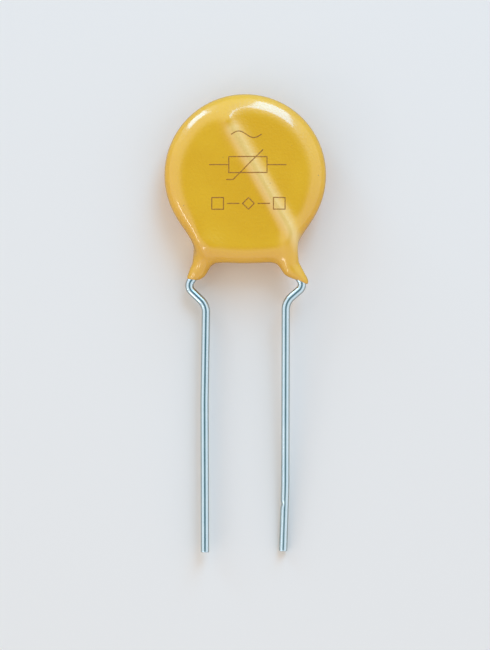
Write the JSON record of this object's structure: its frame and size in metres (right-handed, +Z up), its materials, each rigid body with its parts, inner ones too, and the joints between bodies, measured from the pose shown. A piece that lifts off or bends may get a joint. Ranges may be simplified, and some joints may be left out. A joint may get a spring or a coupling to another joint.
{
  "type": "disc varistor",
  "caption": "Epoxy-dipped metal-oxide disc varistor with kinked tinned wires, for soldering into a board to clamp voltage surges.",
  "frame": {"origin": "on the table, under the centre of the overall box; the part lies on its back", "axes": "+Z up out of the front face, +Y from the wires' tips towards the top of the disc, +X to the right as the front face is read"},
  "size_m": [0.0152, 0.0434, 0.0042],
  "materials": {
    "ceramic": "sintered zinc oxide, dark and matte",
    "silver": "fired silver paste, satin",
    "solder": "soft solder, smooth and slightly dull",
    "tinned_wire": "bright tin plate with fine drawing marks",
    "epoxy": "dipped epoxy, golden yellow, glossy with slight orange peel"
  },
  "bodies": {
    "root": {"ceramic_disc": "ceramic", "front_electrode": "silver", "rear_electrode": "silver", "front_solder": "solder", "rear_solder": "solder", "front_lead": "tinned_wire", "rear_lead": "tinned_wire", "epoxy_coating": "epoxy"}
  },
  "joints": []
}
